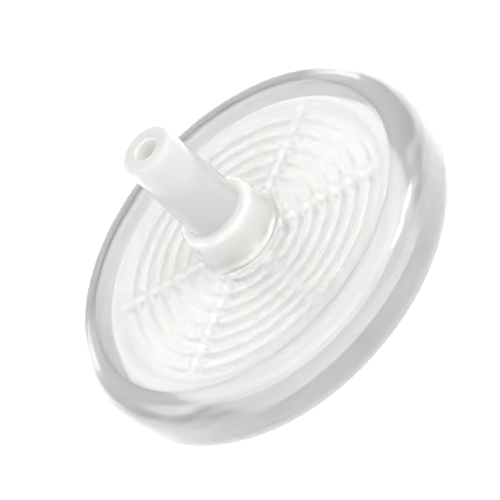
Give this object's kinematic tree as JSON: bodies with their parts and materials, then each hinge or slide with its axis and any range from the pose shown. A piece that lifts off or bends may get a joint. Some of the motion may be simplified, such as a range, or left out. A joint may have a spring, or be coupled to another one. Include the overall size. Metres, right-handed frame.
{
  "type": "syringe filter",
  "caption": "Disposable disc filter for a syringe: milky ribbed housing halves clamp a membrane inside a clear moulded rim, with a luer-lock socket inlet and a slip-tip outlet.",
  "frame": {"origin": "centre of the inlet's flat mouth, which is also the bottom centre of the part's box", "axes": "+Z along the flow, from the inlet socket to the outlet tip; +X across the two locking lugs"},
  "size_m": [0.03, 0.03, 0.024],
  "materials": {
    "natural_pp": "milky translucent moulded polypropylene with a soft satin gloss",
    "clear_pp": "clear polished polypropylene",
    "membrane": "matte white microporous film"
  },
  "bodies": {
    "root": {"outlet_housing": "natural_pp", "inlet_housing": "natural_pp", "overmould_band": "clear_pp", "filter_membrane": "membrane"}
  },
  "joints": []
}
